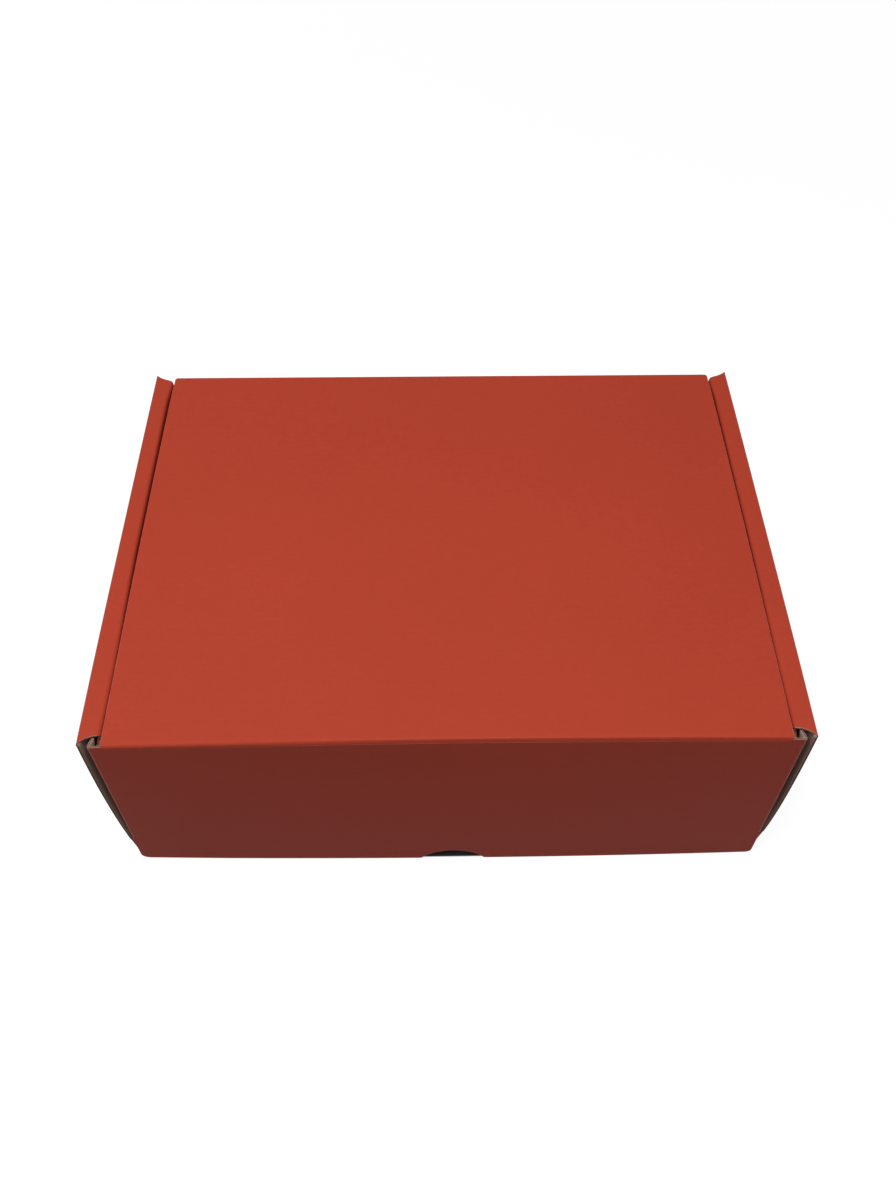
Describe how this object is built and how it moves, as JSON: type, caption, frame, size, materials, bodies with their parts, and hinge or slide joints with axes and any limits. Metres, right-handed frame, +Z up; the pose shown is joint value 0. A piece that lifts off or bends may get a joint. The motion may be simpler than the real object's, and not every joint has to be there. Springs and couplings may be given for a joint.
{
  "type": "folding box",
  "caption": "Closed folding box of corrugated board: hinged lid, front flap hung outside, roll-over double side walls and dust flaps.",
  "frame": {"origin": "centre of the closed box's footprint, on the underside of the base", "axes": "+X to the box's right along its width, +Y from the front flap to the back wall, +Z up"},
  "size_m": [0.3104, 0.2327, 0.1097],
  "materials": {
    "red_board": "matt red print on the outer liner of corrugated board",
    "kraft_board": "bare brown kraft liner of corrugated board"
  },
  "bodies": {
    "root": {"base": "kraft_board", "front_wall": "kraft_board", "back_wall": "red_board", "front_wall_ear_left": "kraft_board", "front_wall_ear_right": "kraft_board", "back_wall_ear_left": "kraft_board", "back_wall_ear_right": "kraft_board", "side_wall_left": "red_board", "side_wall_right": "red_board", "roll_over_left": "red_board", "roll_over_right": "red_board", "inner_side_wall_left": "red_board", "inner_side_wall_right": "red_board"},
    "lid": {"lid": "red_board"},
    "front_flap": {"front_flap": "red_board", "flap_ear_left": "red_board", "flap_ear_right": "red_board"},
    "dust_flap_left": {"dust_flap_left": "red_board"},
    "dust_flap_right": {"dust_flap_right": "red_board"}
  },
  "joints": [
    {"name": "lid_hinge", "type": "hinge", "parent": "root", "child": "lid", "pos_m": [0, 0.1147, 0.10825], "axis": [-1, 0, 0], "range_deg": [0, 180]},
    {"name": "front_flap_hinge", "type": "hinge", "parent": "lid", "child": "front_flap", "pos_m": [0, -0.1136, 0.10825], "axis": [-1, 0, 0], "range_deg": [0, 120]},
    {"name": "dust_flap_left_hinge", "type": "hinge", "parent": "lid", "child": "dust_flap_left", "pos_m": [-0.1437, 0, 0.1075], "axis": [0, -1, 0], "range_deg": [0, 85]},
    {"name": "dust_flap_right_hinge", "type": "hinge", "parent": "lid", "child": "dust_flap_right", "pos_m": [0.1437, 0, 0.1075], "axis": [0, 1, 0], "range_deg": [0, 85]}
  ]
}
